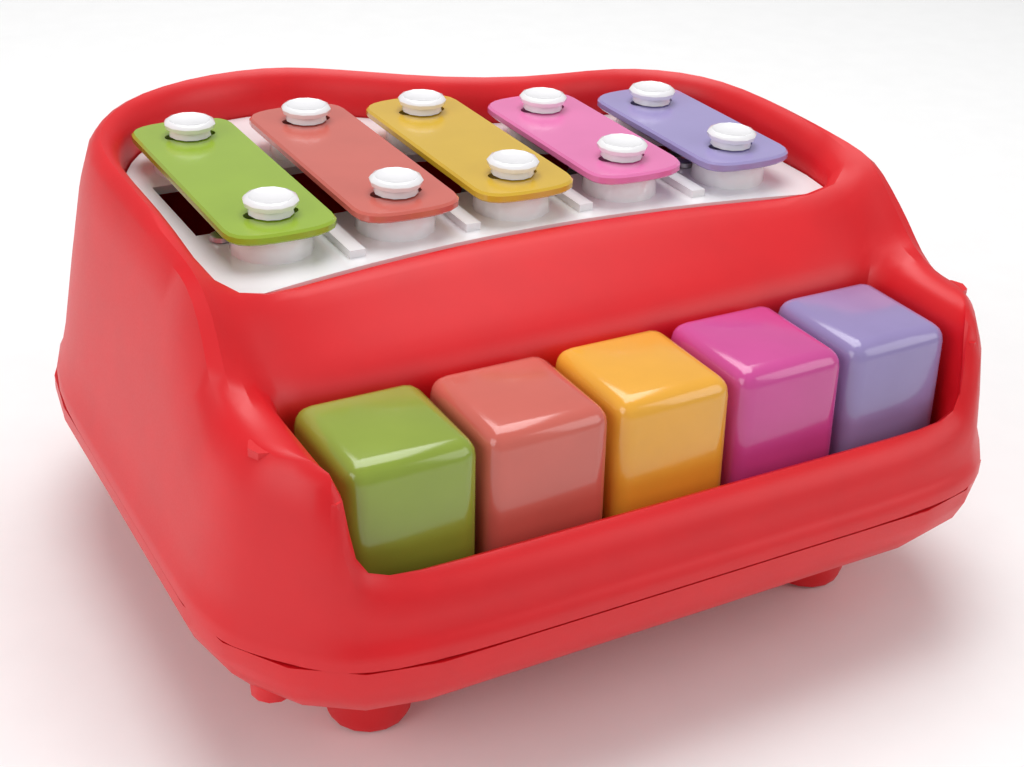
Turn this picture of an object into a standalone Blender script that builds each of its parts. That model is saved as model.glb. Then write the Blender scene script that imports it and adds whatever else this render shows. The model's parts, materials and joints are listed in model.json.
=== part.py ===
"""Toy hammer xylophone piano with five keys and five painted metal bars."""

import bmesh
import bpy
import math
from mathutils import Matrix, Vector

# Datum: X = 0 on the middle key, Y = 0 on the key fronts, Z = 0 on the key tops, millimetres
DATUM_Y = -87.3
DATUM_Z = 83.0
MM = 0.001

# Moulding
WALL = 2.4
CLEARANCE = 0.3

# Key row
KEY_COUNT = 5
KEY_PITCH = 33.0
KEY_WIDTH = 31.0
KEY_DEPTH = 32.3
KEY_HEIGHT = 34.0
KEY_ROUND = 4.5

# Body outline at the foot of the housing wall
BODY_HALF_WIDTH = 107.0
BODY_FRONT_Y = -14.2
BODY_BACK_LEFT_Y = 189.5
BODY_BACK_RIGHT_Y = 152.5
FRONT_CORNER_R = 40.0
BACK_LEFT_R = 68.5
BACK_RIGHT_R = 48.0
CURVE_START_X = -31.0
CURVE_END_X = 43.0

# Body levels
WALL_FOOT_Z = -35.0
FLANGE_PROUD = 2.4
FLANGE_TOP_Z = -35.8
PARTING_Z = -40.0
LIP_TOP_Z = -22.0
ARM_TOP_Z = 3.8
RIM_TOP_Z = 27.0
DECK_TOP_Z = 14.5
SIDE_DRAFT = 8.5
FRONT_DRAFT_SHARE = 0.3

# Body edges
RIM_ROUND = 4.4
RIM_FLAT = 1.6
LIP_ROUND = 4.6
ARM_ROUND = 6.0
RECESS_ROUND = 4.2

# Solid corner inside the nose of each arm, where the moulding is thinner than two walls
NOSE_FILL_X = 85.75
NOSE_FILL_Y = -2.7
NOSE_FILL_RADIUS = 1.35
NOSE_FILL_TOP_Z = -3.6
NOSE_FILL_FOOT_Z = -12.0

# Key recess and sloping panel
RECESS_HALF_WIDTH = 84.0
RECESS_FRONT_Y = -3.0
RECESS_BACK_Y = 34.3
RECESS_FLOOR_Z = -38.0
RECESS_BACK_FLOOR_Z = -16.0
PANEL_FOOT_Y = 38.5
PANEL_FOOT_Z = 2.2
PANEL_HEAD_Z = 15.8
PANEL_EDGE_Y = 63.2
PANEL_BOW = 12.0
PANEL_ROUND = 2.4
CHEEK_FOOT_Y = 23.5
CHEEK_HEAD_Y = 52.0

# Well for the bar deck
WELL_HALF_WIDTH = 88.1
WELL_FLOOR_Z = 11.0
RIM_STATIONS = 20

# Colours
RED = (0.62, 0.012, 0.018)
WHITE = (0.85, 0.83, 0.84)
STEEL = (0.55, 0.55, 0.56)
NOTES = ["green", "salmon", "yellow", "pink", "lavender"]
KEY_COLOURS = [(0.24, 0.33, 0.03), (0.62, 0.13, 0.10), (0.85, 0.42, 0.04), (0.58, 0.06, 0.28), (0.24, 0.20, 0.45)]
BAR_COLOURS = [(0.30, 0.45, 0.03), (0.70, 0.22, 0.16), (0.80, 0.50, 0.04), (0.80, 0.20, 0.45), (0.35, 0.30, 0.55)]

# Tray under the housing
TRAY_PROFILE = [(-2.2, -40.6), (-2.2, -44.5), (0.0, -50.0), (5.0, -56.0), (14.0, -62.5), (27.0, -67.0)]
FOOT_X = 66.0
FOOT_FRONT_Y = 23.0
FOOT_BACK_Y = 120.0
FOOT_RADIUS = 10.5

# Bar deck
DECK_THICK = 2.2
SLOT_FRONT_Y = 93.5
SLOT_BACK_Y = 127.5
SLOT_BACK_RIGHT_Y = 106.0
SLOT_SIDE_MARGIN = 8.0
DECK_NOTCH_WIDTH = 9.0
DECK_NOTCH_Y = 89.5
BOSS_RADIUS = 9.6
BOSS_HEIGHT = 6.2
RIB_WIDTH = 4.0
RIB_HEIGHT = 2.0
PEG_HOLE_RADIUS = 2.2

# Bars and pegs
BAR_WIDTH = 28.0
BAR_THICK = 2.6
BAR_OVERHANG = 12.6
BAR_END_RISE = 7.6
FRONT_PEG_Y = [79.8, 80.2, 80.2, 79.8, 76.0]
BACK_PEG_Y = [137.5, 137.3, 132.5, 121.5, 115.0]
SLOT_LENGTH = 13.8
SLOT_WIDTH = 4.6
CAP_RADIUS = 6.8
NECK_RADIUS = 5.6
STEM_RADIUS = 1.9
NECK_HEIGHT = 1.9
CAP_HEIGHT = 2.3

# Key action
KEY_AXIS_Y = 52.0
KEY_AXIS_Z = -24.0
KEY_AXLE_RADIUS = 2.0
HUB_RADIUS = 5.0
HUB_LENGTH = 26.0
LEVER_TOP_Z = -16.6
LEVER_THICK = 8.0
LEVER_WIDTH = 9.0
TAIL_END_Y = 80.0
TAIL_TOP_Z = -19.0
SPRING_Y = 12.0
SPRING_RADIUS = 4.0
SPRING_WIRE = 0.4
SPRING_TURNS = 5.0
SPRING_TOP_Z = -36.3
SPRING_FOOT_Z = -57.7

# Hammer action
HAMMER_AXIS_Y = 66.0
HAMMER_AXIS_Z = -8.0
HAMMER_AXLE_RADIUS = 1.5
HAMMER_HUB_RADIUS = 4.0
HAMMER_HEAD_Y = 101.2
HAMMER_HEAD_TOP_Z = 13.0
HAMMER_HEAD_RADIUS = 3.2
HAMMER_NOTCH = 6.4
HEEL_Y = 76.0
RAIL_TOP_Z = 12.0
RAIL_THICK = 2.8
RAIL_FRONT_Y = 68.5
RAIL_BACK_Y = 91.0
RAIL_NOTCH_Y = 80.0

# Screws
SCREW_RADIUS = 1.5
SCREW_HEAD_RADIUS = 2.8
SCREW_PLAY = 0.3
SCREW_TIP_Z = -34.0
SCREW_SEAT_Z = -54.0
BOSS_POST_RADIUS = 4.0
POST_FOOT_Z = -50.0
SOCKET_RADIUS = 5.0
SOCKET_FOOT_Z = -60.5
DECK_POSTS = [(-84.0, 104.0), (84.0, 98.0), (-50.0, 156.0), (50.0, 127.0)]
DECK_POST_RADIUS = 3.0
RAIL_SCREWS = [(-75.5, 89.0), (59.5, 87.5)]

# Cross stations of the front of the housing
MIDDLE_X = [-78.0, -60.0, -36.0, -12.0, 12.0, 36.0, 60.0, 78.0]
ARM_ROWS = ["f0", "f1", "f2", "a3", "a4", "a5", "p6", "p7", "p8"]


def place(x, y, z):
    return Vector((x, y + DATUM_Y, z + DATUM_Z)) * MM


def smooth(t):
    t = min(1.0, max(0.0, t))
    return t * t * (3.0 - 2.0 * t)


def arc(cx, cy, radius, start, end, count):
    points = []
    for i in range(count):
        a = math.radians(start + (end - start) * i / count)
        points.append((cx + radius * math.cos(a), cy + radius * math.sin(a)))
    return points


def back_curve(count):
    points = []
    x0 = BACK_LEFT_R - BODY_HALF_WIDTH
    x1 = BODY_HALF_WIDTH - BACK_RIGHT_R
    drop = BODY_BACK_LEFT_Y - BODY_BACK_RIGHT_Y
    for i in range(count):
        x = x0 + (x1 - x0) * i / count
        t = (x - CURVE_START_X) / (CURVE_END_X - CURVE_START_X)
        points.append((x, BODY_BACK_LEFT_Y - drop * smooth(t)))
    return points


def straight(a, b, count):
    return [(a[0] + (b[0] - a[0]) * i / count, a[1] + (b[1] - a[1]) * i / count) for i in range(count)]


def body_outline():
    """Closed plan outline, clockwise from the middle of the front."""
    w = BODY_HALF_WIDTH
    front_x = w - FRONT_CORNER_R
    front_y = BODY_FRONT_Y + FRONT_CORNER_R
    left_y = BODY_BACK_LEFT_Y - BACK_LEFT_R
    right_y = BODY_BACK_RIGHT_Y - BACK_RIGHT_R
    loop = straight((0.0, BODY_FRONT_Y), (-front_x, BODY_FRONT_Y), 30)
    loop += arc(-front_x, front_y, FRONT_CORNER_R, 270.0, 180.0, 40)
    loop += straight((-w, front_y), (-w, left_y), 40)
    loop += arc(BACK_LEFT_R - w, left_y, BACK_LEFT_R, 180.0, 90.0, 60)
    loop += back_curve(60)
    loop += arc(w - BACK_RIGHT_R, right_y, BACK_RIGHT_R, 90.0, 0.0, 50)
    loop += straight((w, right_y), (w, front_y), 30)
    loop += arc(front_x, front_y, FRONT_CORNER_R, 360.0, 270.0, 40)
    loop += straight((front_x, BODY_FRONT_Y), (0.0, BODY_FRONT_Y), 30)
    return loop


def with_normals(loop):
    """Outline points paired with their outward normals."""
    out = []
    n = len(loop)
    for i in range(n):
        ax, ay = loop[i - 1]
        bx, by = loop[(i + 1) % n]
        length = math.hypot(bx - ax, by - ay)
        out.append((loop[i][0], loop[i][1], -(by - ay) / length, (bx - ax) / length))
    return out


def wall_inset(z):
    return SIDE_DRAFT * (z - WALL_FOOT_Z) / (RIM_TOP_Z - WALL_FOOT_Z)


def inset_point(p, inset):
    """Outline point moved inward, less so where the wall faces the front."""
    share = 1.0 - (1.0 - FRONT_DRAFT_SHARE) * max(0.0, -p[3])
    return (p[0] - p[2] * inset * share, p[1] - p[3] * inset * share)


def moved(p, distance):
    return (p[0] - p[2] * distance, p[1] - p[3] * distance)


def cheek_height(y):
    """Height of the side cheeks, from the arms beside the keys up to the rim."""
    return ARM_TOP_Z + (RIM_TOP_Z - ARM_TOP_Z) * smooth((y - CHEEK_FOOT_Y) / (CHEEK_HEAD_Y - CHEEK_FOOT_Y))


def panel_edge_y(x):
    """Front edge of the well, bowed towards the cheeks."""
    return PANEL_EDGE_Y - PANEL_BOW * (x / WELL_HALF_WIDTH) ** 2


def nearest_on(points, x, y):
    return min(points, key=lambda p: (p[0] - x) ** 2 + (p[1] - y) ** 2)


def rim_references(points):
    """Outline points of the rim, evenly spaced from the left cheek round the back to the right cheek."""
    start = points.index(nearest_on(points, -BODY_HALF_WIDTH, 60.0))
    end = points.index(nearest_on(points, BODY_HALF_WIDTH, 60.0))
    run = points[start:end + 1]
    lengths = [0.0]
    for a, b in zip(run, run[1:]):
        lengths.append(lengths[-1] + math.hypot(b[0] - a[0], b[1] - a[1]))
    picked = []
    for k in range(RIM_STATIONS + 1):
        target = lengths[-1] * k / RIM_STATIONS
        picked.append(run[min(range(len(run)), key=lambda j: abs(lengths[j] - target))])
    return picked


class Cage:
    """Quad cage of the housing skin, one vertex per named crossing."""

    def __init__(self):
        self.bm = bmesh.new()
        self.v = {}

    def add(self, key, x, y, z):
        self.v[key] = self.bm.verts.new(place(x, y, z))

    def strip(self, first, second):
        pairs = list(zip(first, second))
        for (a, b), (c, d) in zip(pairs, pairs[1:]):
            self.bm.faces.new([self.v[k] for k in (a, c, d, b)])


def add_outer(cage, key, ref, top, rounding):
    """Top edge, wall and flange below one crossing of the outer edge."""
    x, y = inset_point(ref, wall_inset(top))
    ax, ay = moved((x, y, ref[2], ref[3]), rounding)
    tx, ty = inset_point(ref, wall_inset(top - rounding))
    fx, fy = moved(ref, -FLANGE_PROUD)
    cage.add((key, "apex"), ax, ay, top)
    cage.add((key, "side"), tx, ty, top - rounding)
    cage.add((key, "foot"), ref[0], ref[1], WALL_FOOT_Z)
    cage.add((key, "bead"), fx, fy, FLANGE_TOP_Z)
    cage.add((key, "base"), fx, fy, PARTING_Z)


def add_side_rows(cage, points, side):
    """Outer and inner crossings of one arm and cheek."""
    outline_y = dict(zip(ARM_ROWS, (3.0, 10.0, 16.5, 24.0, 31.0, 37.5, 44.0, 51.0, 60.0)))
    inner_x = dict(zip(ARM_ROWS, (87.5, 88.2, 88.2, 88.2, 88.2, 88.2, 89.2, 90.3, 91.7)))
    inner_y = dict(zip(ARM_ROWS, (-2.0, 3.0, 8.0, 16.0, 28.0, 38.5, 42.5, 47.0, 51.5)))
    inner_z = {"a5": 4.6, "p6": 10.0, "p7": 17.0, "p8": 22.5}
    for row in ARM_ROWS:
        ref = nearest_on(points, side * BODY_HALF_WIDTH, outline_y[row])
        rounding = RIM_ROUND if row in ("p7", "p8") else ARM_ROUND
        add_outer(cage, (side, row), ref, cheek_height(outline_y[row]), rounding)
        if row != "f0":
            cage.add((side, row, "in"), side * inner_x[row], inner_y[row], inner_z.get(row, ARM_TOP_Z))
    face_y = {"f1": -1.0, "f2": 2.0, "a3": 16.0, "a4": 28.0, "a5": RECESS_BACK_Y}
    low_y = {"f1": -6.5, "f2": RECESS_FRONT_Y, "a3": 16.0, "a4": 28.0, "a5": RECESS_BACK_Y}
    for row in face_y:
        cage.add((side, row, "face"), side * RECESS_HALF_WIDTH, face_y[row], ARM_TOP_Z - RECESS_ROUND)
        low = RECESS_BACK_FLOOR_Z + 6.0 if row == "a5" else LIP_TOP_Z + 3.0
        floor = RECESS_BACK_FLOOR_Z if row == "a5" else RECESS_FLOOR_Z
        cage.add((side, row, "low"), side * RECESS_HALF_WIDTH, low_y[row], low)
        if row != "f1":
            cage.add((side, row, "floor"), side * RECESS_HALF_WIDTH, low_y[row], floor)


def add_front(cage, points):
    """Front edge from arm to arm, the lip and the front wall of the recess."""
    for side in (-1, 1):
        add_outer(cage, (side, "f0", "in"), nearest_on(points, side * 91.5, -6.0), ARM_TOP_Z, ARM_ROUND)
        add_outer(cage, (side, "f0", "face"), nearest_on(points, side * 86.0, -9.0), ARM_TOP_Z - RECESS_ROUND, ARM_ROUND)
        add_outer(cage, (side, "f0", "low"), nearest_on(points, side * 84.5, -10.0), LIP_TOP_Z + 3.0, LIP_ROUND)
    for x in MIDDLE_X:
        add_outer(cage, (x, "f0"), nearest_on(points, x, BODY_FRONT_Y), LIP_TOP_Z, LIP_ROUND)
        cage.add((x, "f1"), x, RECESS_FRONT_Y - LIP_ROUND, LIP_TOP_Z)
        cage.add((x, "f2"), x, RECESS_FRONT_Y, LIP_TOP_Z - LIP_ROUND)
        cage.add((x, "f2", "floor"), x, RECESS_FRONT_Y, RECESS_FLOOR_Z)


def add_panel(cage):
    """Sloping panel between the back of the recess and the front edge of the well."""
    for x in MIDDLE_X:
        head = panel_edge_y(x)
        cage.add((x, "floor"), x, RECESS_BACK_Y, RECESS_BACK_FLOOR_Z)
        cage.add((x, "low"), x, RECESS_BACK_Y, RECESS_BACK_FLOOR_Z + 6.0)
        cage.add((x, "face"), x, RECESS_BACK_Y, PANEL_FOOT_Z - RECESS_ROUND)
        for row, t in (("a5", 0.0), ("p6", 0.33), ("p7", 0.67), ("p8", 1.0)):
            cage.add((x, row), x, PANEL_FOOT_Y + t * (head - PANEL_FOOT_Y), PANEL_FOOT_Z + t * (PANEL_HEAD_Z - PANEL_FOOT_Z))
        cage.add((x, "edge"), x, head + PANEL_ROUND, PANEL_HEAD_Z - PANEL_ROUND)
        cage.add((x, "well"), x, head + PANEL_ROUND, WELL_FLOOR_Z)


def add_rim(cage, points):
    """Crossings of the rim round the well, outer and inner."""
    refs = rim_references(points)
    for k, ref in enumerate(refs):
        x, y = inset_point(ref, wall_inset(RIM_TOP_Z))
        crest = (x, y, ref[2], ref[3])
        if 0 < k < RIM_STATIONS:
            add_outer(cage, ("rim", k), ref, RIM_TOP_Z, RIM_ROUND)
            ix, iy = moved(crest, RIM_ROUND + RIM_FLAT)
            cage.add(("rim", k, "in"), ix, iy, RIM_TOP_Z)
        wx, wy = moved(crest, 2.0 * RIM_ROUND + RIM_FLAT)
        drop = RIM_TOP_Z - RIM_ROUND
        if k in (0, RIM_STATIONS):
            wx = math.copysign(WELL_HALF_WIDTH, ref[0])
            wy = 54.0
            drop = 17.0
        cage.add(("rim", k, "edge"), wx, wy, drop)
        cage.add(("rim", k, "well"), wx, wy, WELL_FLOOR_Z)


def housing_faces(cage):
    """Skin of the housing as strips between named rows."""
    for side in (-1, 1):
        rows = [(side, r) for r in ARM_ROWS]
        inner = [(side, "f0", "in")] + [r + ("in",) for r in rows[1:]]
        apex = [(r, "apex") for r in rows]
        cage.strip(apex, [(inner[0], "apex")] + inner[1:])
        recess = [r for r in rows if r[1] in ("f1", "f2", "a3", "a4", "a5")]
        face = [((side, "f0", "face"), "apex")] + [r + ("face",) for r in recess]
        low = [((side, "f0", "low"), "apex")] + [r + ("low",) for r in recess]
        cage.strip([(inner[0], "apex")] + inner[1:6], face)
        cage.strip(face, low)
        cage.strip(low[2:], [r + ("floor",) for r in recess[1:]])
    lip = [(x, "f0") for x in MIDDLE_X]
    crest = [((-1, "f0", "low"), "apex")] + [(k, "apex") for k in lip] + [((1, "f0", "low"), "apex")]
    back = [(-1, "f1", "low")] + [(x, "f1") for x in MIDDLE_X] + [(1, "f1", "low")]
    drop = [(-1, "f2", "low")] + [(x, "f2") for x in MIDDLE_X] + [(1, "f2", "low")]
    floor = [(-1, "f2", "floor")] + [(x, "f2", "floor") for x in MIDDLE_X] + [(1, "f2", "floor")]
    for a, b in ((crest, back), (back, drop), (drop, floor)):
        cage.strip(a, b)
    for a, b in (("floor", "low"), ("low", "face"), ("face", "in"), ("in", "p6"), ("p6", "p7"), ("p7", "p8")):
        cage.strip(cross_row(a), cross_row(b))
    wells = [("rim", 0), *[(x,) for x in MIDDLE_X], ("rim", RIM_STATIONS)]
    cage.strip(cross_row("p8"), [k + ("edge",) for k in wells])
    cage.strip([k + ("edge",) for k in wells], [k + ("well",) for k in wells])
    rim = [("rim", k) for k in range(RIM_STATIONS + 1)]
    outer = [((-1, "p8"), "apex")] + [(k, "apex") for k in rim[1:-1]] + [((1, "p8"), "apex")]
    inner = [(-1, "p8", "in")] + [k + ("in",) for k in rim[1:-1]] + [(1, "p8", "in")]
    cage.strip(outer, inner)
    cage.strip(inner, [k + ("edge",) for k in rim])
    cage.strip([k + ("edge",) for k in rim], [k + ("well",) for k in rim])
    loop = outer_keys()
    for a, b in (("apex", "side"), ("side", "foot"), ("foot", "bead"), ("bead", "base")):
        cage.strip([(k, a) for k in loop], [(k, b) for k in loop])


def cross_row(name):
    """Keys of one row across the panel, from side wall to side wall."""
    if name in ("floor", "low", "face"):
        return [(-1, "a5", name)] + [(x, name) for x in MIDDLE_X] + [(1, "a5", name)]
    row = "a5" if name == "in" else name
    return [(-1, row, "in")] + [(x, row) for x in MIDDLE_X] + [(1, row, "in")]


def outer_keys():
    """Closed run of the outer crossings, clockwise from the left arm."""
    left = [(-1, r) for r in ARM_ROWS]
    right = [(1, r) for r in reversed(ARM_ROWS)]
    rim = [("rim", k) for k in range(1, RIM_STATIONS)]
    ends = ["in", "face", "low"]
    front = [(1, "f0", e) for e in ends] + [(x, "f0") for x in reversed(MIDDLE_X)]
    front += [(-1, "f0", e) for e in reversed(ends)]
    return left + rim + right + front + [left[0]]


def make_housing(levels):
    points = with_normals(body_outline())
    cage = Cage()
    for side in (-1, 1):
        add_side_rows(cage, points, side)
    add_front(cage, points)
    add_panel(cage)
    add_rim(cage, points)
    housing_faces(cage)
    bmesh.ops.recalc_face_normals(cage.bm, faces=cage.bm.faces)
    top = max(cage.bm.faces, key=lambda f: f.calc_center_median().z)
    if top.normal.z < 0.0:
        bmesh.ops.reverse_faces(cage.bm, faces=cage.bm.faces)
    obj = finish(cage.bm, "upper_housing", RED)
    smoother = obj.modifiers.new("Smoothing", "SUBSURF")
    smoother.levels = levels
    smoother.render_levels = levels
    shell = obj.modifiers.new("Wall", "SOLIDIFY")
    shell.thickness = WALL * MM
    shell.offset = -1.0
    return obj


def finish(bm, name, colour):
    mesh = bpy.data.meshes.new(name)
    bm.to_mesh(mesh)
    bm.free()
    obj = bpy.data.objects.new(name, mesh)
    bpy.context.scene.collection.objects.link(obj)
    material = bpy.data.materials.new(name)
    material.use_nodes = True
    material.node_tree.nodes["Principled BSDF"].inputs["Base Color"].default_value = (*colour, 1.0)
    mesh.materials.append(material)
    for polygon in mesh.polygons:
        polygon.use_smooth = True
    return obj


def sharpen(obj, angle):
    obj.data.set_sharp_from_angle(angle=math.radians(angle))


def add_prism(bm, outline, z0, z1):
    """Upright prism over a plan outline."""
    low = [bm.verts.new(place(x, y, z0)) for x, y in outline]
    high = [bm.verts.new(place(x, y, z1)) for x, y in outline]
    close_prism(bm, low, high)


def add_side_prism(bm, outline, x0, x1):
    """Prism along X over a side outline of (y, z) points."""
    low = [bm.verts.new(place(x0, y, z)) for y, z in outline]
    high = [bm.verts.new(place(x1, y, z)) for y, z in outline]
    close_prism(bm, low, high)


def close_prism(bm, low, high):
    n = len(low)
    faces = [bm.faces.new(low), bm.faces.new(list(reversed(high)))]
    faces += [bm.faces.new([low[i], high[i], high[(i + 1) % n], low[(i + 1) % n]]) for i in range(n)]
    bmesh.ops.recalc_face_normals(bm, faces=faces)


def add_box(bm, x0, x1, y0, y1, z0, z1):
    add_prism(bm, [(x0, y0), (x1, y0), (x1, y1), (x0, y1)], z0, z1)


def add_turned(bm, profile, x, y, steps):
    """Solid of revolution about the upright line at x, y; profile of (radius, z) from top to bottom."""
    rings = []
    for r, z in profile:
        if r == 0.0:
            rings.append([bm.verts.new(place(x, y, z))])
        else:
            turn = [2.0 * math.pi * i / steps for i in range(steps)]
            rings.append([bm.verts.new(place(x + r * math.cos(a), y + r * math.sin(a), z)) for a in turn])
    faces = []
    for top, bottom in zip(rings, rings[1:]):
        for i in range(steps):
            j = (i + 1) % steps
            corners = [top[i % len(top)], bottom[i % len(bottom)], bottom[j % len(bottom)], top[j % len(top)]]
            unique = [c for k, c in enumerate(corners) if c not in corners[:k]]
            faces.append(bm.faces.new(unique))
    bmesh.ops.recalc_face_normals(bm, faces=faces)


def add_rod(bm, x0, x1, y, z, radius, steps):
    """Round rod along X."""
    turn = [2.0 * math.pi * i / steps for i in range(steps)]
    add_side_prism(bm, [(y + radius * math.cos(a), z + radius * math.sin(a)) for a in turn], x0, x1)


def combine(obj, operation, fill):
    """Join or cut one object with the solids that fill() draws, which may cross each other."""
    tool_bm = bmesh.new()
    fill(tool_bm)
    mesh = bpy.data.meshes.new("tool")
    tool_bm.to_mesh(mesh)
    tool_bm.free()
    tool = bpy.data.objects.new("tool", mesh)
    bpy.context.scene.collection.objects.link(tool)
    modifier = obj.modifiers.new("Combine", "BOOLEAN")
    modifier.operation = operation
    modifier.solver = "EXACT"
    modifier.use_self = True
    modifier.object = tool
    bake(obj)
    bpy.data.objects.remove(tool, do_unlink=True)


def bake(obj):
    """Replace the mesh by its modified result."""
    graph = bpy.context.evaluated_depsgraph_get()
    mesh = bpy.data.meshes.new_from_object(obj.evaluated_get(graph))
    obj.modifiers.clear()
    obj.data = mesh
    for polygon in mesh.polygons:
        polygon.use_smooth = True


def key_x(i):
    return (i - (KEY_COUNT - 1) / 2) * KEY_PITCH


def divider_x():
    """Positions of the guides either side of each key."""
    return [key_x(0) + (i - 0.5) * KEY_PITCH for i in range(KEY_COUNT + 1)]


def housing_posts():
    """Screw posts under the arms and inside the rim."""
    points = with_normals(body_outline())
    posts = [(-93.5, 14.0), (93.5, 14.0)]
    for x, y in ((-90.0, 160.0), (95.0, 132.0)):
        ref = nearest_on(points, x, y)
        posts.append(moved(ref, wall_inset(RIM_TOP_Z) + RIM_ROUND + RIM_FLAT / 2))
    return posts


def finish_housing(obj):
    bake(obj)
    arm = ARM_TOP_Z - WALL / 2
    rim = RIM_TOP_Z - RIM_ROUND
    tops = [arm, arm, rim, rim]

    def posts(bm):
        for (x, y), top in zip(housing_posts(), tops):
            r = BOSS_POST_RADIUS
            add_turned(bm, [(0.0, top), (r, top), (r, POST_FOOT_Z), (0.0, POST_FOOT_Z)], x, y, 8)
        for side in (-1, 1):
            r, z0, z1 = NOSE_FILL_RADIUS, NOSE_FILL_TOP_Z, NOSE_FILL_FOOT_Z
            add_turned(bm, [(0.0, z0), (r, z0), (r, z1), (0.0, z1)], side * NOSE_FILL_X, NOSE_FILL_Y, 8)

    def holes(bm):
        for x, y in housing_posts():
            r = SCREW_RADIUS + SCREW_PLAY
            low = POST_FOOT_Z - 2.0
            add_turned(bm, [(0.0, SCREW_TIP_Z + 2.0), (r, SCREW_TIP_Z + 2.0), (r, low), (0.0, low)], x, y, 10)

    combine(obj, "UNION", posts)
    combine(obj, "DIFFERENCE", holes)


def make_base():
    """Tray with feet, axle plates, screw sockets and spring seats."""
    points = with_normals(body_outline())[::10]
    bm = bmesh.new()
    rings = []
    for inset, z in TRAY_PROFILE:
        rings.append([bm.verts.new(place(*moved(p, inset), z)) for p in points])
    n = len(points)
    for upper, lower in zip(rings, rings[1:]):
        for i in range(n):
            bm.faces.new([upper[i], upper[(i + 1) % n], lower[(i + 1) % n], lower[i]])
    bm.faces.new(rings[-1])
    bmesh.ops.recalc_face_normals(bm, faces=bm.faces)
    low = min(bm.faces, key=lambda f: f.calc_center_median().z)
    if low.normal.z > 0.0:
        bmesh.ops.reverse_faces(bm, faces=bm.faces)
    obj = finish(bm, "lower_base", RED)
    shell = obj.modifiers.new("Wall", "SOLIDIFY")
    shell.thickness = WALL * MM
    shell.offset = -1.0
    bake(obj)
    floor = TRAY_PROFILE[-1][1]

    def additions(tool):
        for x in (-FOOT_X, FOOT_X):
            for y in (FOOT_FRONT_Y, FOOT_BACK_Y):
                foot = [(0.0, floor + 0.8), (12.5, floor + 0.8), (11.2, floor - 2.5), (FOOT_RADIUS, -DATUM_Z + 3.0),
                        (9.6, -DATUM_Z + 0.8), (7.8, -DATUM_Z), (0.0, -DATUM_Z)]
                add_turned(tool, foot, x, y, 16)
        top = KEY_AXIS_Z + 6.0
        for x in divider_x():
            side = [(KEY_AXIS_Y - 14.0, floor + 1.0), (KEY_AXIS_Y + 14.0, floor + 1.0), (KEY_AXIS_Y + 6.0, top), (KEY_AXIS_Y - 6.0, top)]
            add_side_prism(tool, side, x - 1.25, x + 1.25)
        for i in range(KEY_COUNT):
            seat = [(0.0, SPRING_FOOT_Z - 0.3), (5.0, SPRING_FOOT_Z - 0.3), (5.0, floor + 1.0), (0.0, floor + 1.0)]
            add_turned(tool, seat, key_x(i), SPRING_Y, 12)
        for x, y in housing_posts():
            r, z0, z1 = SOCKET_RADIUS, POST_FOOT_Z - CLEARANCE, SOCKET_FOOT_Z
            add_turned(tool, [(0.0, z0), (r, z0), (r, z1), (0.0, z1)], x, y, 12)
        for x, y in DECK_POSTS:
            r, z0, z1 = DECK_POST_RADIUS, DECK_TOP_Z - DECK_THICK - CLEARANCE, floor + 1.0
            add_turned(tool, [(0.0, z0), (r, z0), (r, z1), (0.0, z1)], x, y, 12)

    def cuts(tool):
        for x in divider_x():
            add_rod(tool, x - 2.0, x + 2.0, KEY_AXIS_Y, KEY_AXIS_Z, KEY_AXLE_RADIUS + CLEARANCE, 12)
        for x, y in housing_posts():
            r, h = SCREW_RADIUS + SCREW_PLAY, SCREW_HEAD_RADIUS + SCREW_PLAY
            z0, z1, z2 = POST_FOOT_Z + 1.0, SCREW_SEAT_Z, -DATUM_Z
            add_turned(tool, [(0.0, z0), (r, z0), (r, z1), (h, z1), (h, z2), (0.0, z2)], x, y, 12)

    combine(obj, "UNION", additions)
    combine(obj, "DIFFERENCE", cuts)
    sharpen(obj, 35.0)
    return obj


def well_outline():
    """Plan outline of the finished well wall, clockwise."""
    points = with_normals(body_outline())
    loop = []
    for k, ref in enumerate(rim_references(points)):
        if k in (0, RIM_STATIONS):
            loop.append((math.copysign(WELL_HALF_WIDTH, ref[0]), 54.0))
        else:
            x, y = inset_point(ref, wall_inset(RIM_TOP_Z))
            loop.append(moved((x, y, ref[2], ref[3]), 2.0 * RIM_ROUND + RIM_FLAT))
    loop += [(x, panel_edge_y(x) + PANEL_ROUND) for x in reversed(MIDDLE_X)]
    fine = []
    n = len(loop)
    for i in range(n):
        a, b, c, d = (loop[(i + j - 1) % n] for j in range(4))
        fine.append(tuple((a[k] + 4.0 * b[k] + c[k]) / 6.0 for k in (0, 1)))
        fine.append(tuple((a[k] + 23.0 * b[k] + 23.0 * c[k] + d[k]) / 48.0 for k in (0, 1)))
    return fine


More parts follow.
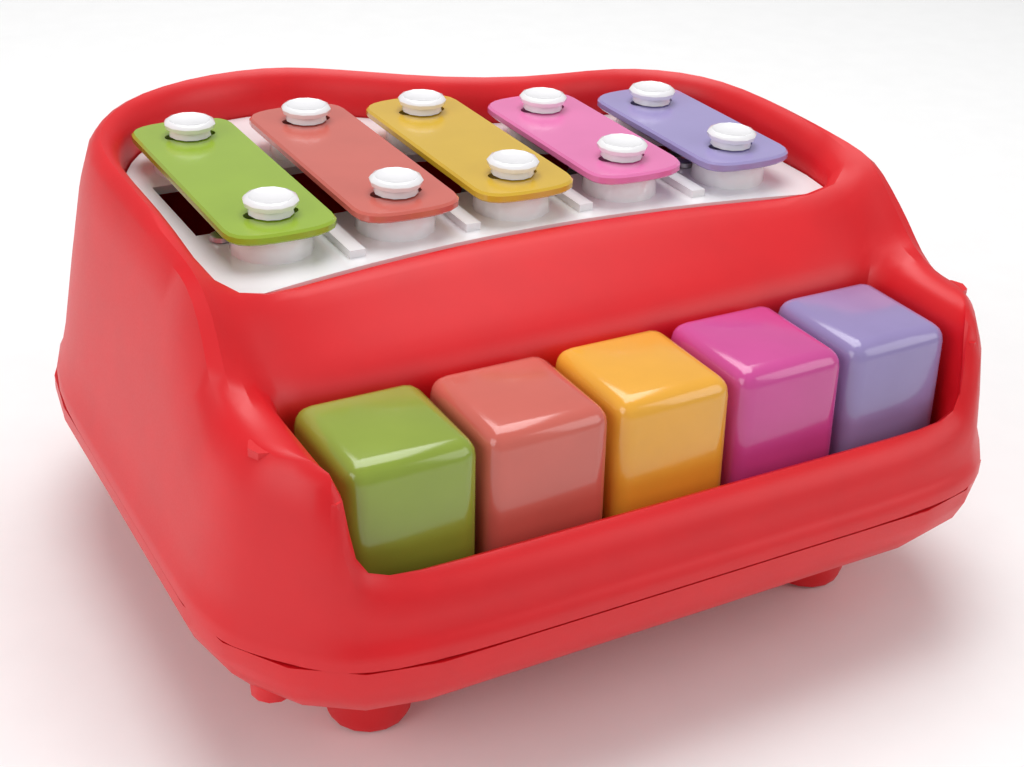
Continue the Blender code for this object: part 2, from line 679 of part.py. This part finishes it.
def make_deck():
    """White deck with bosses under the bar ends, ribs and an open slot for the hammers."""
    outline = [moved(p, CLEARANCE + 0.2) for p in with_normals(well_outline())]
    bm = bmesh.new()
    add_prism(bm, outline, DECK_TOP_Z - DECK_THICK, DECK_TOP_Z)
    obj = finish(bm, "bar_deck", WHITE)
    slot_x = WELL_HALF_WIDTH - SLOT_SIDE_MARGIN

    def slot(tool):
        corners = [(-slot_x, SLOT_FRONT_Y), (slot_x, SLOT_FRONT_Y), (slot_x, SLOT_BACK_RIGHT_Y), (-28.0, SLOT_BACK_Y), (-slot_x, SLOT_BACK_Y)]
        low, high = DECK_TOP_Z - 5.0, DECK_TOP_Z + 5.0
        add_prism(tool, corners, low, high)
        half = DECK_NOTCH_WIDTH / 2
        for i in range(KEY_COUNT):
            add_box(tool, key_x(i) - half, key_x(i) + half, DECK_NOTCH_Y, SLOT_FRONT_Y + 1.0, low, high)

    def raised(tool):
        root = DECK_TOP_Z - 1.0
        top = DECK_TOP_Z + BOSS_HEIGHT
        for i in range(KEY_COUNT):
            for y in (FRONT_PEG_Y[i], BACK_PEG_Y[i]):
                boss = [(0.0, top), (BOSS_RADIUS, top), (BOSS_RADIUS + 0.6, root), (0.0, root)]
                add_turned(tool, boss, key_x(i), y, 16)
        for x in divider_x()[1:-1]:
            half = RIB_WIDTH / 2
            edge = panel_edge_y(x) + 7.0
            add_box(tool, x - half, x + half, edge, SLOT_FRONT_Y - 1.0, root, DECK_TOP_Z + RIB_HEIGHT)

    def holes(tool):
        for i in range(KEY_COUNT):
            for y in (FRONT_PEG_Y[i], BACK_PEG_Y[i]):
                r = PEG_HOLE_RADIUS
                add_turned(tool, [(0.0, 30.0), (r, 30.0), (r, 5.0), (0.0, 5.0)], key_x(i), y, 10)
        for x, y in RAIL_SCREWS:
            r = SCREW_RADIUS + 0.3
            add_turned(tool, [(0.0, 30.0), (r, 30.0), (r, 5.0), (0.0, 5.0)], x, y, 10)

    combine(obj, "DIFFERENCE", slot)
    combine(obj, "UNION", raised)
    combine(obj, "DIFFERENCE", holes)
    sharpen(obj, 35.0)
    return obj


def bar_bottom_z():
    return DECK_TOP_Z + BOSS_HEIGHT + CLEARANCE


def bar_plan(i):
    """Bar outline with bowed ends and rounded corners, anticlockwise."""
    front = FRONT_PEG_Y[i] - BAR_OVERHANG
    back = BACK_PEG_Y[i] + BAR_OVERHANG
    half = BAR_WIDTH / 2
    points = []
    for k in range(13):
        t = -1.0 + k / 6.0
        rise = BAR_END_RISE * abs(t) ** 2.6
        points.append((half * math.sin(t * math.pi / 2), front + rise))
    x = key_x(i)
    ends = [(x + px, py) for px, py in points]
    return ends + [(x - px, back + front - py) for px, py in points]


def make_bar(i):
    bm = bmesh.new()
    low = bar_bottom_z()
    add_prism(bm, bar_plan(i), low, low + BAR_THICK)
    rims = [e for e in bm.edges if abs(e.verts[0].co.z - e.verts[1].co.z) < 1e-7]
    bmesh.ops.bevel(bm, geom=rims, offset=0.6 * MM, segments=1, profile=0.5, affect="EDGES", clamp_overlap=True)
    obj = finish(bm, "bar_" + NOTES[i], BAR_COLOURS[i])

    def holes(tool):
        for y in (FRONT_PEG_Y[i], BACK_PEG_Y[i]):
            add_prism(tool, slot_plan(key_x(i), y), low - 1.0, low + BAR_THICK + 1.0)

    combine(obj, "DIFFERENCE", holes)
    sharpen(obj, 50.0)
    return obj


def slot_plan(x, y):
    """Long hole with round ends, its length across the bar."""
    r = SLOT_WIDTH / 2
    straight_half = SLOT_LENGTH / 2 - r
    right = [(x + straight_half + r * math.cos(a), y + r * math.sin(a)) for a in (math.radians(-90 + 30 * k) for k in range(7))]
    left = [(x - straight_half - r * math.cos(a), y - r * math.sin(a)) for a in (math.radians(-90 + 30 * k) for k in range(7))]
    return right + left


def make_peg(i, end):
    y = FRONT_PEG_Y[i] if end == "front" else BACK_PEG_Y[i]
    foot = bar_bottom_z() + BAR_THICK + CLEARANCE
    disc = foot + NECK_HEIGHT
    top = disc + CAP_HEIGHT
    profile = [
        (0.0, top - 0.7), (CAP_RADIUS - 2.4, top - 0.6), (CAP_RADIUS - 1.3, top), (CAP_RADIUS - 0.5, top - 0.3),
        (CAP_RADIUS, top - 1.0), (CAP_RADIUS - 0.3, disc + 0.2), (NECK_RADIUS - 0.4, disc), (NECK_RADIUS, foot),
        (STEM_RADIUS, foot), (STEM_RADIUS, DECK_TOP_Z - DECK_THICK + 0.8), (0.0, DECK_TOP_Z - DECK_THICK + CLEARANCE),
    ]
    bm = bmesh.new()
    add_turned(bm, profile, key_x(i), y, 12)
    obj = finish(bm, "peg_" + NOTES[i] + "_" + end, WHITE)
    sharpen(obj, 50.0)
    return obj


def make_key(i):
    """Hollow key block with its lever, pivot tube and spring post."""
    x = key_x(i)
    half = KEY_WIDTH / 2
    low = -KEY_HEIGHT
    spread = KEY_HEIGHT * math.tan(math.radians(0.6))
    lean = KEY_HEIGHT * math.tan(math.radians(2.0))
    bm = bmesh.new()
    top = [bm.verts.new(place(x + sx * half, y, 0.0)) for sx, y in ((-1, 0.0), (1, 0.0), (1, KEY_DEPTH), (-1, KEY_DEPTH))]
    foot = [(-1, -lean), (1, -lean), (1, KEY_DEPTH), (-1, KEY_DEPTH)]
    bottom = [bm.verts.new(place(x + sx * (half + spread), y, low)) for sx, y in foot]
    close_prism(bm, bottom, top)
    rounds = [e for e in bm.edges if max(v.co.z for v in e.verts) > (DATUM_Z - 1.0) * MM]
    bmesh.ops.bevel(bm, geom=rounds, offset=KEY_ROUND * MM, segments=4, profile=0.5, affect="EDGES", clamp_overlap=True)
    obj = finish(bm, "key_" + NOTES[i], KEY_COLOURS[i])
    inner = half - WALL

    def hollow(tool):
        add_box(tool, x - inner, x + inner, WALL - 1.0, KEY_DEPTH - WALL, low - 1.0, -WALL - 1.2)

    def lever(tool):
        w = LEVER_WIDTH / 2
        side = [(KEY_DEPTH - 1.5, LEVER_TOP_Z), (KEY_AXIS_Y + 6.0, LEVER_TOP_Z), (TAIL_END_Y - 12.0, TAIL_TOP_Z), (TAIL_END_Y, TAIL_TOP_Z),
                (TAIL_END_Y, TAIL_TOP_Z - 4.0), (KEY_AXIS_Y, LEVER_TOP_Z - LEVER_THICK - 2.0), (KEY_DEPTH - 1.5, LEVER_TOP_Z - LEVER_THICK - 2.0)]
        add_side_prism(tool, side, x - w, x + w)
        add_rod(tool, x - HUB_LENGTH / 2, x + HUB_LENGTH / 2, KEY_AXIS_Y, KEY_AXIS_Z, HUB_RADIUS, 16)
        post = [(0.0, -3.0), (3.4, -3.0), (3.0, SPRING_TOP_Z + 0.3), (0.0, SPRING_TOP_Z + 0.3)]
        add_turned(tool, post, x, SPRING_Y, 10)

    def bore(tool):
        add_rod(tool, x - HUB_LENGTH, x + HUB_LENGTH, KEY_AXIS_Y, KEY_AXIS_Z, KEY_AXLE_RADIUS + 0.3, 12)

    combine(obj, "DIFFERENCE", hollow)
    combine(obj, "UNION", lever)
    combine(obj, "DIFFERENCE", bore)
    sharpen(obj, 35.0)
    set_origin(obj, KEY_AXIS_Y, KEY_AXIS_Z, x)
    return obj


def set_origin(obj, y, z, x=0.0):
    centre = place(x, y, z)
    obj.data.transform(Matrix.Translation(-centre))
    obj.location = centre


def make_spring(i):
    """Return spring between the base and the key's post, one unbroken wire."""
    curve = bpy.data.curves.new("spring_" + NOTES[i], "CURVE")
    curve.dimensions = "3D"
    curve.bevel_depth = SPRING_WIRE * MM
    curve.bevel_resolution = 1
    curve.use_fill_caps = True
    per_turn = 8
    count = int(SPRING_TURNS * per_turn) + 1
    spline = curve.splines.new("POLY")
    spline.points.add(count - 1)
    low = SPRING_FOOT_Z + SPRING_WIRE
    high = SPRING_TOP_Z - SPRING_WIRE
    radius = SPRING_RADIUS - SPRING_WIRE
    for k in range(count):
        t = k / (count - 1)
        a = 2.0 * math.pi * SPRING_TURNS * t
        p = place(key_x(i) + radius * math.cos(a), SPRING_Y + radius * math.sin(a), low + (high - low) * t)
        spline.points[k].co = (*p, 1.0)
    wire = bpy.data.objects.new("wire", curve)
    bpy.context.scene.collection.objects.link(wire)
    graph = bpy.context.evaluated_depsgraph_get()
    mesh = bpy.data.meshes.new_from_object(wire.evaluated_get(graph))
    bpy.data.objects.remove(wire, do_unlink=True)
    bm = bmesh.new()
    bm.from_mesh(mesh)
    bmesh.ops.remove_doubles(bm, verts=bm.verts, dist=1e-6)
    bmesh.ops.recalc_face_normals(bm, faces=bm.faces)
    return finish(bm, "return_spring_" + NOTES[i], STEEL)


def make_hammer(i):
    """Hammer lever: pivot tube, heel resting on the key tail and shaft to the head."""
    x = key_x(i)
    y0, z0 = HAMMER_AXIS_Y, HAMMER_AXIS_Z
    bm = bmesh.new()
    add_rod(bm, x - HUB_LENGTH / 2, x + HUB_LENGTH / 2, y0, z0, HAMMER_HUB_RADIUS, 14)
    obj = finish(bm, "hammer_" + NOTES[i], WHITE)

    def arms(tool):
        heel_z = TAIL_TOP_Z + CLEARANCE
        side = [(y0 - 2.0, z0 + 3.0), (y0 - 2.0, z0 - 3.0), (HEEL_Y - 2.5, heel_z), (HEEL_Y + 2.0, heel_z), (y0 + 12.0, z0 - 1.0),
                (HAMMER_HEAD_Y + 2.5, HAMMER_HEAD_TOP_Z - 8.5), (HAMMER_HEAD_Y + 2.5, HAMMER_HEAD_TOP_Z - 4.5), (HAMMER_HEAD_Y - 3.0, HAMMER_HEAD_TOP_Z - 4.5)]
        add_side_prism(tool, side, x - 2.5, x + 2.5)

    def bore(tool):
        add_rod(tool, x - HUB_LENGTH, x + HUB_LENGTH, y0, z0, HAMMER_AXLE_RADIUS + 0.3, 12)

    combine(obj, "UNION", arms)
    combine(obj, "DIFFERENCE", bore)
    sharpen(obj, 35.0)
    set_origin(obj, y0, z0, x)
    return obj


def make_hammer_head(i):
    """Round striking knob on the end of one hammer."""
    top = HAMMER_HEAD_TOP_Z
    r = HAMMER_HEAD_RADIUS
    base = top - 4.2
    profile = [(0.0, top), (r * 0.5, top - 0.3), (r * 0.87, top - 1.4), (r, top - 2.8), (r, base), (0.0, base)]
    bm = bmesh.new()
    add_turned(bm, profile, key_x(i), HAMMER_HEAD_Y, 14)
    obj = finish(bm, "hammer_head_" + NOTES[i], (0.05, 0.05, 0.05))
    sharpen(obj, 50.0)
    return obj


def make_rail():
    """Rail under the deck that carries the hammer axle."""
    ends = HUB_LENGTH / 2 + key_x(KEY_COUNT - 1) + 4.5
    bm = bmesh.new()
    add_box(bm, -ends, ends, RAIL_FRONT_Y, RAIL_BACK_Y + 1.5, RAIL_TOP_Z - RAIL_THICK, RAIL_TOP_Z)
    obj = finish(bm, "hammer_rail", WHITE)

    def plates(tool):
        top = RAIL_TOP_Z - 1.0
        for x in divider_x():
            side = [(RAIL_FRONT_Y + 1.0, top), (HAMMER_AXIS_Y - 5.0, HAMMER_AXIS_Z), (HAMMER_AXIS_Y - 3.0, HAMMER_AXIS_Z - 5.0),
                    (HAMMER_AXIS_Y + 3.0, HAMMER_AXIS_Z - 5.0), (HAMMER_AXIS_Y + 5.0, HAMMER_AXIS_Z), (RAIL_BACK_Y - 4.0, top)]
            add_side_prism(tool, side, x - 1.25, x + 1.25)

    def cuts(tool):
        for x in divider_x():
            add_rod(tool, x - 2.0, x + 2.0, HAMMER_AXIS_Y, HAMMER_AXIS_Z, HAMMER_AXLE_RADIUS + 0.3, 12)
        for i in range(KEY_COUNT):
            half = HAMMER_NOTCH / 2
            low, high = RAIL_TOP_Z - RAIL_THICK - 1.0, RAIL_TOP_Z + 1.0
            add_box(tool, key_x(i) - half, key_x(i) + half, RAIL_NOTCH_Y, RAIL_BACK_Y + 3.0, low, high)
        for x, y in RAIL_SCREWS:
            r = SCREW_RADIUS + SCREW_PLAY
            add_turned(tool, [(0.0, 30.0), (r, 30.0), (r, 0.0), (0.0, 0.0)], x, y, 10)

    combine(obj, "UNION", plates)
    combine(obj, "DIFFERENCE", cuts)
    sharpen(obj, 35.0)
    return obj


def make_axle(name, y, z, radius):
    reach = key_x(KEY_COUNT - 1) + KEY_PITCH / 2 + 2.5
    bm = bmesh.new()
    add_rod(bm, -reach, reach, y, z, radius, 12)
    obj = finish(bm, name, STEEL)
    sharpen(obj, 40.0)
    return obj


def make_rail_screw(n):
    x, y = RAIL_SCREWS[n]
    top = DECK_TOP_Z + CLEARANCE + 1.8
    seat = DECK_TOP_Z + CLEARANCE
    tip = RAIL_TOP_Z - RAIL_THICK - 3.0
    profile = [(0.0, top), (1.6, top - 0.1), (2.6, top - 0.7), (SCREW_HEAD_RADIUS, seat), (SCREW_RADIUS - 0.1, seat), (SCREW_RADIUS - 0.1, tip), (0.0, tip - 1.0)]
    bm = bmesh.new()
    add_turned(bm, profile, x, y, 14)
    obj = finish(bm, "rail_screw_" + str(n + 1), STEEL)
    sharpen(obj, 50.0)
    return obj


def make_base_screw(n):
    x, y = housing_posts()[n]
    head = SCREW_SEAT_Z - CLEARANCE
    low = head - 1.8
    r = SCREW_RADIUS
    profile = [(0.0, SCREW_TIP_Z), (r, SCREW_TIP_Z - 1.0), (r, head), (SCREW_HEAD_RADIUS, head)]
    profile += [(2.6, low + 0.6), (1.6, low), (0.0, low)]
    bm = bmesh.new()
    add_turned(bm, profile, x, y, 12)
    obj = finish(bm, "base_screw_" + str(n + 1), STEEL)
    sharpen(obj, 50.0)
    return obj


def clear_scene():
    for obj in list(bpy.data.objects):
        bpy.data.objects.remove(obj, do_unlink=True)


def main():
    clear_scene()
    housing = make_housing(1)
    finish_housing(housing)
    make_base()
    make_deck()
    make_rail()
    make_axle("key_axle", KEY_AXIS_Y, KEY_AXIS_Z, KEY_AXLE_RADIUS)
    make_axle("hammer_axle", HAMMER_AXIS_Y, HAMMER_AXIS_Z, HAMMER_AXLE_RADIUS)
    for i in range(KEY_COUNT):
        make_bar(i)
        make_peg(i, "front")
        make_peg(i, "back")
        make_key(i)
        make_spring(i)
        make_hammer(i)
        make_hammer_head(i)
    for n in range(len(RAIL_SCREWS)):
        make_rail_screw(n)
    for n in range(4):
        make_base_screw(n)


main()
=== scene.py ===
# %% [markdown]
# A toy piano: pressing a coloured key swings a hammer up against a painted metal bar.
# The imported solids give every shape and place. This script gives them their finish, and
# sets a plain studio around them.

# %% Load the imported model
import json
import math

import bmesh
import bpy
from mathutils import Matrix, Vector


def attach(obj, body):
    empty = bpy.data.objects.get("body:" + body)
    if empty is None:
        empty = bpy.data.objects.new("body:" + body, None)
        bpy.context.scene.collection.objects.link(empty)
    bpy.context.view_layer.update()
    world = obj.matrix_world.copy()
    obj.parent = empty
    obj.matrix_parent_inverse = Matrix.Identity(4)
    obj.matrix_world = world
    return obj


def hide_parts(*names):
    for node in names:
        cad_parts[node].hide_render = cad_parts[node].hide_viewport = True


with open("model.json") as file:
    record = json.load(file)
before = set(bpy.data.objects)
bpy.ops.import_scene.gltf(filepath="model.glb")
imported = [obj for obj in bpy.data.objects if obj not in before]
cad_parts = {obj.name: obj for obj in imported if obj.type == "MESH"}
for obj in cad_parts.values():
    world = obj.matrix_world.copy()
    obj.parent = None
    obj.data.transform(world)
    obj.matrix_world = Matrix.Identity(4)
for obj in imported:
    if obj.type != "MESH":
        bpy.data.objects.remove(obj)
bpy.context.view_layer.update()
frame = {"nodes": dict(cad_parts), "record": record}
nodes = frame["nodes"]
slots = {s["node"]: s["material_slot"] for s in frame["record"]["subparts"]}
print("loaded", len(nodes), "nodes")

# %% [markdown]
# The camera stands where the photographer stood: a little above, to the left of the keys.
# Its place, turn and focal length were fitted to the row of keys in the photograph, with the
# keys taken to be 33 mm apart. The shift holds the small offset of the picture's centre.

# %% Camera
IMAGE_WIDTH = 1024.0
FOCAL_PIXELS = 1591.3
SENSOR_MM = 36.0
SHIFT_RIGHT = 0.002
SHIFT_UP = -0.0531
AZIMUTH = math.radians(-30.497)
ELEVATION = math.radians(26.768)
ROLL = math.radians(2.952)
CAMERA_PLACE = Vector((-0.19278, -0.33725, 0.25474))

back = Vector((
    math.sin(AZIMUTH) * math.cos(ELEVATION),
    -math.cos(AZIMUTH) * math.cos(ELEVATION),
    math.sin(ELEVATION),
))
level_right = (-back).cross(Vector((0.0, 0.0, 1.0))).normalized()
level_up = level_right.cross(-back)
right = level_right * math.cos(ROLL) + level_up * math.sin(ROLL)
up = level_up * math.cos(ROLL) - level_right * math.sin(ROLL)
camera_turn = Matrix((right, up, back)).transposed().to_4x4()
camera_data = bpy.data.cameras.new("camera")
camera_data.lens = FOCAL_PIXELS * SENSOR_MM / IMAGE_WIDTH
camera_data.sensor_width = SENSOR_MM
camera_data.shift_x = SHIFT_RIGHT
camera_data.shift_y = SHIFT_UP
camera = bpy.data.objects.new("camera", camera_data)
bpy.context.scene.collection.objects.link(camera)
camera.matrix_world = Matrix.Translation(CAMERA_PLACE) @ camera_turn
bpy.context.scene.camera = camera
print("camera lens", round(camera_data.lens, 2), "mm")

# %% [markdown]
# Moulded plastic is never one even colour. A slow noise moves the shade a little, a finer one
# varies the gloss, and a faint bump breaks up the highlights as a real moulding does. The
# pattern reads Object coordinates, so it stays on the piece in every view.

# %% How a finish varies
SLOW_CYCLES = 60.0
SLOW_DETAIL = 3.0
FINE_CYCLES = 1800.0
FINE_DETAIL = 4.0
SHADE_LOW = 0.3
SHADE_HIGH = 0.7
GLOSS_LOW = 0.85
GLOSS_HIGH = 1.15
RELIEF_DEPTH = 0.0001
COAT_ROUGHNESS = 0.12


def noise(tree, place, cycles, detail):
    """Noise over the piece, with its cycles given per metre."""
    pattern = tree.nodes.new("ShaderNodeTexNoise")
    pattern.inputs["Scale"].default_value = cycles
    pattern.inputs["Detail"].default_value = detail
    tree.links.new(place.outputs["Object"], pattern.inputs["Vector"])
    return pattern


def finish_nodes(name, colour, roughness, spread, bump, coat=0.0, metallic=0.0):
    """Material with its shade, gloss and bump varied by noise."""
    material = bpy.data.materials.new(name)
    material.use_nodes = True
    tree = material.node_tree
    shader = tree.nodes["Principled BSDF"]
    shader.inputs["Metallic"].default_value = metallic
    shader.inputs["Coat Weight"].default_value = coat
    shader.inputs["Coat Roughness"].default_value = COAT_ROUGHNESS
    place = tree.nodes.new("ShaderNodeTexCoord")
    slow = noise(tree, place, SLOW_CYCLES, SLOW_DETAIL)
    fine = noise(tree, place, FINE_CYCLES, FINE_DETAIL)
    shade = tree.nodes.new("ShaderNodeValToRGB")
    darker, lighter = shade.color_ramp.elements
    darker.position = SHADE_LOW
    lighter.position = SHADE_HIGH
    darker.color = (*[c * (1.0 - spread) for c in colour], 1.0)
    lighter.color = (*[min(1.0, c * (1.0 + spread)) for c in colour], 1.0)
    tree.links.new(slow.outputs["Fac"], shade.inputs["Fac"])
    tree.links.new(shade.outputs["Color"], shader.inputs["Base Color"])
    gloss = tree.nodes.new("ShaderNodeMapRange")
    gloss.inputs["To Min"].default_value = roughness * GLOSS_LOW
    gloss.inputs["To Max"].default_value = roughness * GLOSS_HIGH
    tree.links.new(fine.outputs["Fac"], gloss.inputs["Value"])
    tree.links.new(gloss.outputs["Result"], shader.inputs["Roughness"])
    relief = tree.nodes.new("ShaderNodeBump")
    relief.inputs["Strength"].default_value = bump
    relief.inputs["Distance"].default_value = RELIEF_DEPTH
    tree.links.new(fine.outputs["Fac"], relief.inputs["Height"])
    tree.links.new(relief.outputs["Normal"], shader.inputs["Normal"])
    return material


# %% [markdown]
# The keys, caps and deck are glossy mouldings, the bars are painted metal with a clear coat,
# the hammer heads are dull, and the axles, springs and screws are steel. The record gives a
# class for each of these, so the finish is looked up by class. The red housing and base are
# set apart: their skin is satin, and the record's red rendered too pink.

# %% Finishes
PLASTIC = {"roughness": 0.18, "spread": 0.04, "bump": 0.04, "coat": 0.4}
SATIN_PLASTIC = {"roughness": 0.42, "spread": 0.04, "bump": 0.06}
MATTE_PLASTIC = {"roughness": 0.6, "spread": 0.1, "bump": 0.2}
PAINT = {"roughness": 0.2, "spread": 0.03, "bump": 0.04, "coat": 0.6}
STEEL = {"roughness": 0.3, "spread": 0.06, "bump": 0.1, "metallic": 1.0}
CLASS_FINISH = {"painted_metal": PAINT, "brushed_steel": STEEL, "matte_plastic": MATTE_PLASTIC}
HOUSING_SLOT = "red_plastic"
HOUSING_RED = (0.70, 0.004, 0.010)

FINISHES = {}
for slot in frame["record"]["materials"]:
    colour = slot["base_color"][:3]
    values = CLASS_FINISH.get(slot["class"], PLASTIC)
    if slot["slot"] == HOUSING_SLOT:
        colour = HOUSING_RED
        values = SATIN_PLASTIC
    FINISHES[slot["slot"]] = finish_nodes(slot["slot"] + "_finish", colour, **values)
print("made", len(FINISHES), "finishes")

# %% [markdown]
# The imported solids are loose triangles, so they shade flat. A copy with its doubles merged can
# shade smooth over its rounds and stay crisp at its real edges. Each copy stands for its node.

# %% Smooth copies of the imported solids
MERGE_DISTANCE = 1e-6
SHARP_ANGLE = math.radians(35.0)


def smooth_copy(name):
    """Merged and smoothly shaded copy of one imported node."""
    mesh = nodes[name].data.copy()
    bm = bmesh.new()
    bm.from_mesh(mesh)
    bmesh.ops.remove_doubles(bm, verts=bm.verts, dist=MERGE_DISTANCE)
    bm.to_mesh(mesh)
    bm.free()
    if "custom_normal" in mesh.attributes:
        mesh.attributes.remove(mesh.attributes["custom_normal"])
    mesh.shade_smooth()
    mesh.set_sharp_from_angle(angle=SHARP_ANGLE)
    mesh.materials.clear()
    mesh.materials.append(FINISHES[slots[name]])
    piece = bpy.data.objects.new(name + "_dressed", mesh)
    bpy.context.scene.collection.objects.link(piece)
    return piece


for body, members in frame["record"]["behaviour"]["bodies"].items():
    for name in members:
        piece = smooth_copy(name)
        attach(piece, body)
        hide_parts(name)
print("dressed", len(slots), "nodes")

# %% [markdown]
# Soft light comes from broad lamps: one overhead, and a weaker one at each side. Each is
# turned to face the toy, which stands at the origin.

# %% Lamps
LAMPS = {
    "overhead": {"place": (0.1, 0.3, 1.2), "size": 0.9, "watts": 11.0},
    "left_side": {"place": (-1.1, -0.3, 0.6), "size": 0.8, "watts": 5.0},
    "right_side": {"place": (0.9, -0.9, 0.7), "size": 0.8, "watts": 4.0},
}


def soft_lamp(name, place, size, watts):
    """Square area lamp that faces the origin."""
    data = bpy.data.lights.new(name, "AREA")
    data.shape = "SQUARE"
    data.size = size
    data.energy = watts
    lamp = bpy.data.objects.new(name, data)
    lamp.location = place
    lamp.rotation_euler = (-Vector(place)).to_track_quat("-Z", "Y").to_euler()
    bpy.context.scene.collection.objects.link(lamp)


for name, values in LAMPS.items():
    soft_lamp(name, **values)
print("hung", len(LAMPS), "lamps")

# %% [markdown]
# The floor is one wide sheet of pale paper, a hair below the feet so that the two surfaces
# don't share a plane and flicker.

# %% Floor
FLOOR_HALF = 3.0
FLOOR_DROP = 0.0002
FLOOR_COLOUR = (0.92, 0.92, 0.92)
PAPER = {"roughness": 0.7, "spread": 0.01, "bump": 0.02}

floor_bm = bmesh.new()
bmesh.ops.create_grid(floor_bm, x_segments=2, y_segments=2, size=FLOOR_HALF)
floor_mesh = bpy.data.meshes.new("floor")
floor_bm.to_mesh(floor_mesh)
floor_bm.free()
floor = bpy.data.objects.new("floor", floor_mesh)
floor.location.z = -FLOOR_DROP
bpy.context.scene.collection.objects.link(floor)
floor_mesh.materials.append(finish_nodes("floor_paper", FLOOR_COLOUR, **PAPER))
print("laid a floor", round(floor.dimensions.x, 2), "m wide")

# %% [markdown]
# The camera sees a white world, while every other ray sees a dimmer one, so the background is
# white and the object's colours don't wash out.

# %% World
WHITE = (1.0, 1.0, 1.0, 1.0)
LIGHT_STRENGTH = 0.38
SEEN_STRENGTH = 1.0

world = bpy.data.worlds.new("studio")
bpy.context.scene.world = world
world.use_nodes = True
sky = world.node_tree.nodes["Background"]
sky.inputs["Color"].default_value = WHITE
rays = world.node_tree.nodes.new("ShaderNodeLightPath")
level = world.node_tree.nodes.new("ShaderNodeMapRange")
level.inputs["To Min"].default_value = LIGHT_STRENGTH
level.inputs["To Max"].default_value = SEEN_STRENGTH
world.node_tree.links.new(rays.outputs["Is Camera Ray"], level.inputs["Value"])
world.node_tree.links.new(level.outputs["Result"], sky.inputs["Strength"])
bpy.context.scene.view_settings.view_transform = "Standard"
print("studio ready")
